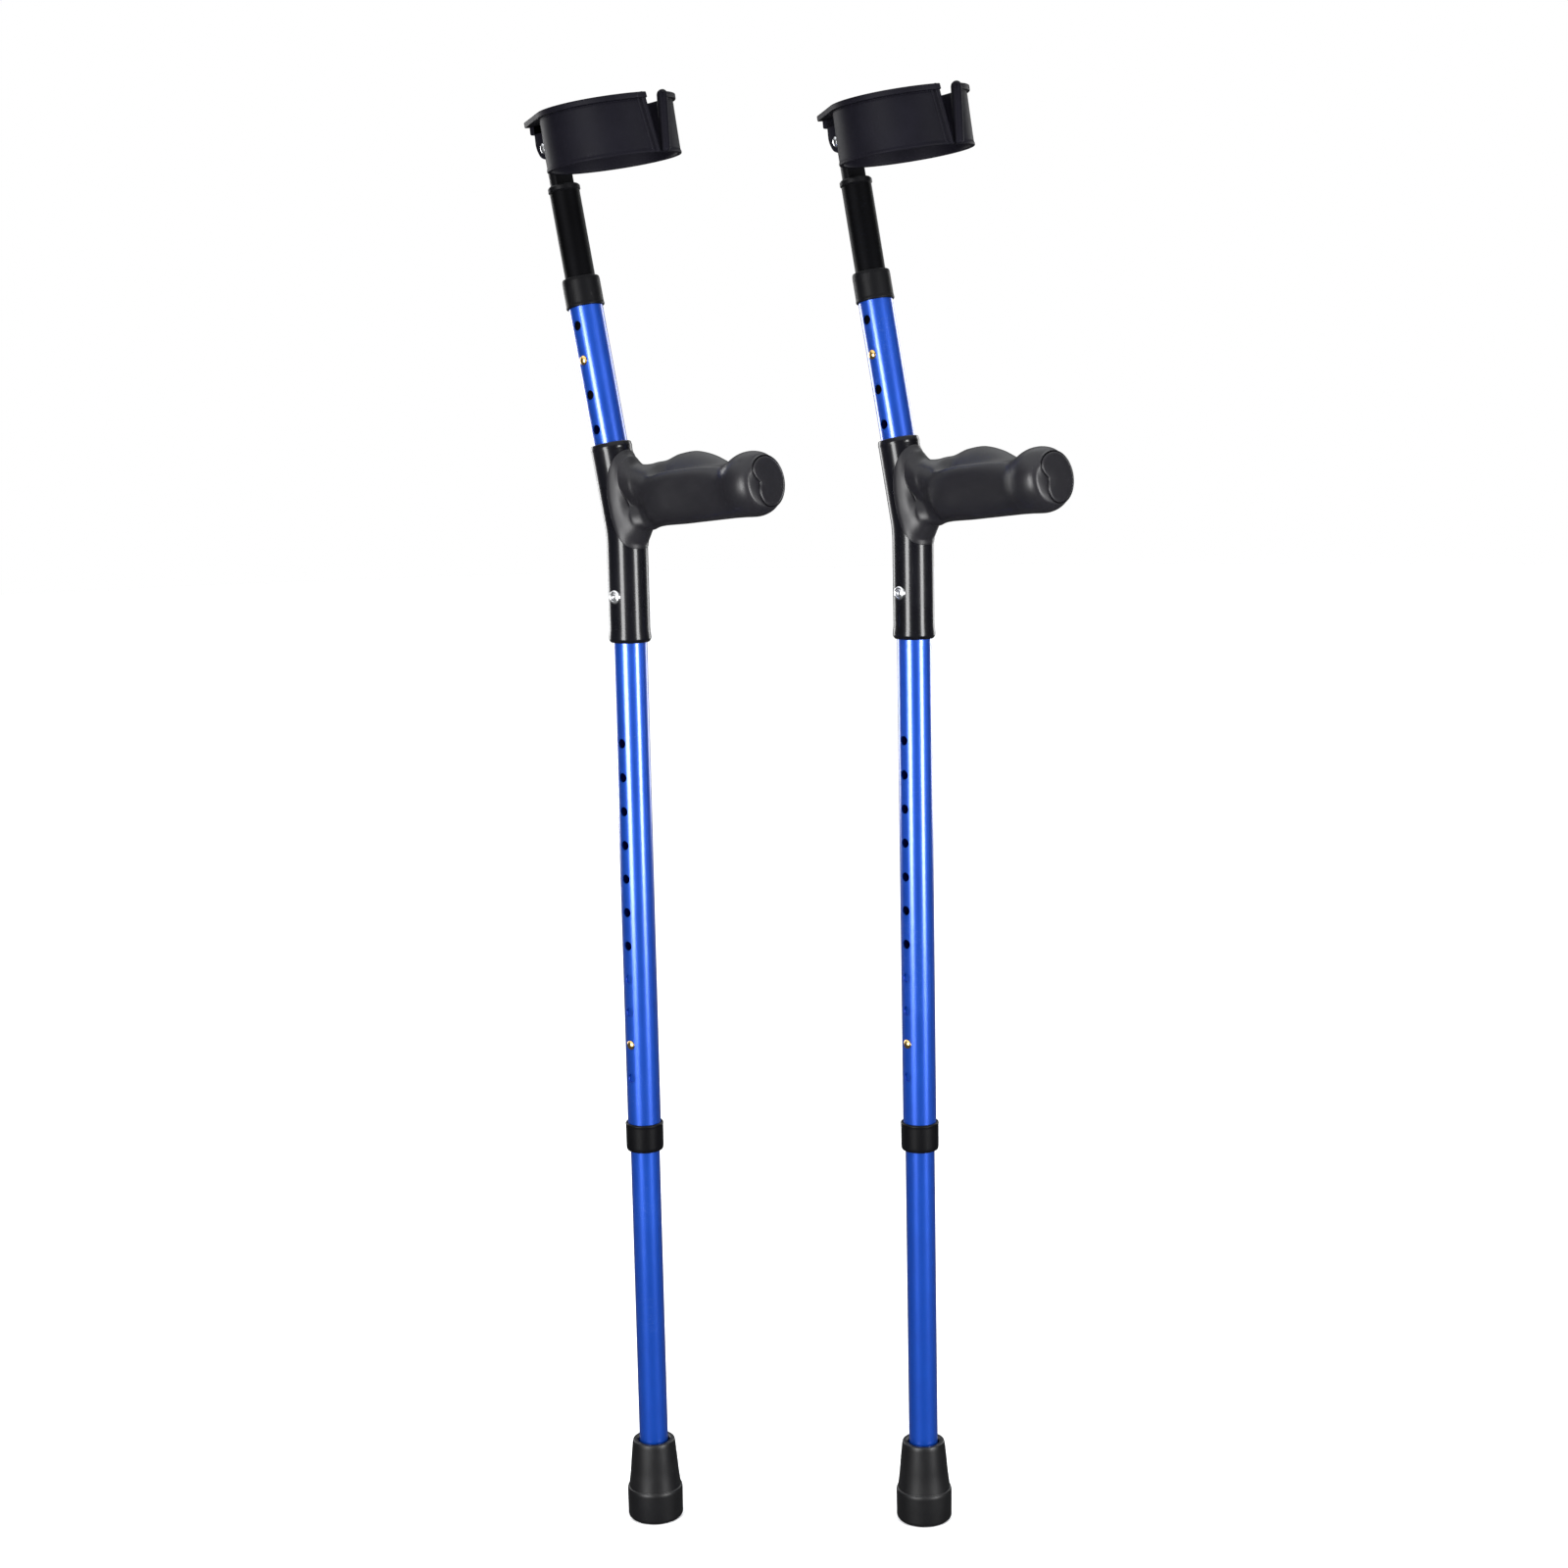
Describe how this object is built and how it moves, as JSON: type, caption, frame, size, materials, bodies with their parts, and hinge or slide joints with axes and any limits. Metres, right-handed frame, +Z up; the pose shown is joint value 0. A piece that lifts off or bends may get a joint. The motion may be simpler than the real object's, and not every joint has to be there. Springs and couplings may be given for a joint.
{
  "type": "elbow crutch pair",
  "caption": "Height-adjustable elbow crutches with an open-front pivoting forearm cuff, a shaped palm grip, sliding tubes locked by snap buttons and a rubber tip.",
  "frame": {"origin": "centre of the first crutch's rubber foot, on the floor", "axes": "+Z up the first crutch's leg, +X along its grip, +Y towards its palm wing; the second crutch stands beside it, turned a little about its own leg"},
  "size_m": [0.3839, 0.224, 1.0716],
  "materials": {
    "blue_tube": "blue anodised, satin with sharp lengthwise highlights",
    "black_tube": "black anodised, satin",
    "gloss_plastic": "polished black moulding",
    "satin_plastic": "satin black moulding",
    "soft_grip": "matte soft-touch dark grey",
    "rubber_tip": "matte black rubber",
    "brass": "polished brass",
    "steel": "bright zinc plated"
  },
  "bodies": {
    "first_frame": {"first_main_tube": "blue_tube", "first_leg_collar": "satin_plastic", "first_hub": "gloss_plastic", "first_hub_bolt": "steel", "first_hub_nut": "steel", "first_grip": "soft_grip", "first_grip_screw": "steel", "first_grip_cap": "soft_grip", "first_upper_tube": "blue_tube", "first_upper_rivet": "steel", "first_upper_collar": "satin_plastic"},
    "first_leg": {"first_leg_tube": "blue_tube", "first_leg_bush": "satin_plastic", "first_leg_spring": "steel", "first_ferrule": "rubber_tip", "first_ferrule_washer": "steel"},
    "first_leg_catch": {"first_leg_button": "brass"},
    "first_stem": {"first_stem_tube": "black_tube", "first_stem_bush": "satin_plastic", "first_stem_spring": "steel", "first_stem_head": "satin_plastic"},
    "first_stem_catch": {"first_stem_button": "brass"},
    "first_cuff_ring": {"first_cuff": "satin_plastic", "first_cuff_rivet": "steel", "first_cuff_washer": "steel"},
    "second_frame": {"second_main_tube": "blue_tube", "second_leg_collar": "satin_plastic", "second_hub": "gloss_plastic", "second_hub_bolt": "steel", "second_hub_nut": "steel", "second_grip": "soft_grip", "second_grip_screw": "steel", "second_grip_cap": "soft_grip", "second_upper_tube": "blue_tube", "second_upper_rivet": "steel", "second_upper_collar": "satin_plastic"},
    "second_leg": {"second_leg_tube": "blue_tube", "second_leg_bush": "satin_plastic", "second_leg_spring": "steel", "second_ferrule": "rubber_tip", "second_ferrule_washer": "steel"},
    "second_leg_catch": {"second_leg_button": "brass"},
    "second_stem": {"second_stem_tube": "black_tube", "second_stem_bush": "satin_plastic", "second_stem_spring": "steel", "second_stem_head": "satin_plastic"},
    "second_stem_catch": {"second_stem_button": "brass"},
    "second_cuff_ring": {"second_cuff": "satin_plastic", "second_cuff_rivet": "steel", "second_cuff_washer": "steel"}
  },
  "joints": [
    {"name": "first_leg_slide", "type": "slide", "parent": "first_frame", "child": "first_leg", "axis": [0, 0, 1], "range_m": [-0.0254, 0.2286], "deforming": ["first_leg_spring", "first_leg_button"]},
    {"name": "first_stem_slide", "type": "slide", "parent": "first_frame", "child": "first_stem", "axis": [-0.2079, 0, 0.9781], "range_m": [-0.0508, 0.0254], "deforming": ["first_stem_spring", "first_stem_button"]},
    {"name": "first_leg_button_press", "type": "slide", "parent": "first_leg", "child": "first_leg_catch", "axis": [0, 1, 0], "range_m": [0, 0.0033], "stiffness_N_per_m": 3000, "springref_m": -0.003},
    {"name": "first_stem_button_press", "type": "slide", "parent": "first_stem", "child": "first_stem_catch", "axis": [0, 1, 0], "range_m": [0, 0.0033], "stiffness_N_per_m": 3000, "springref_m": -0.003},
    {"name": "first_cuff_tilt", "type": "hinge", "parent": "first_stem", "child": "first_cuff_ring", "pos_m": [-0.05982, 0, 1.03741], "axis": [0, 1, 0], "range_deg": [-12, 7]},
    {"name": "second_lift", "type": "slide", "parent": "first_frame", "child": "second_frame", "axis": [0, 0, 1], "range_m": [0, 0.4]},
    {"name": "second_leg_slide", "type": "slide", "parent": "second_frame", "child": "second_leg", "axis": [0, 0, 1], "range_m": [-0.0254, 0.2286], "deforming": ["second_leg_spring", "second_leg_button"]},
    {"name": "second_stem_slide", "type": "slide", "parent": "second_frame", "child": "second_stem", "axis": [-0.2067, 0.0228, 0.9781], "range_m": [-0.0508, 0.0254], "deforming": ["second_stem_spring", "second_stem_button"]},
    {"name": "second_leg_button_press", "type": "slide", "parent": "second_leg", "child": "second_leg_catch", "axis": [0.1097, 0.994, 0], "range_m": [0, 0.0033], "stiffness_N_per_m": 3000, "springref_m": -0.003},
    {"name": "second_stem_button_press", "type": "slide", "parent": "second_stem", "child": "second_stem_catch", "axis": [0.1097, 0.994, 0], "range_m": [0, 0.0033], "stiffness_N_per_m": 3000, "springref_m": -0.003},
    {"name": "second_cuff_tilt", "type": "hinge", "parent": "second_stem", "child": "second_cuff_ring", "pos_m": [0.10854, 0.12956, 1.03741], "axis": [0.1097, 0.994, 0], "range_deg": [-12, 7]}
  ]
}
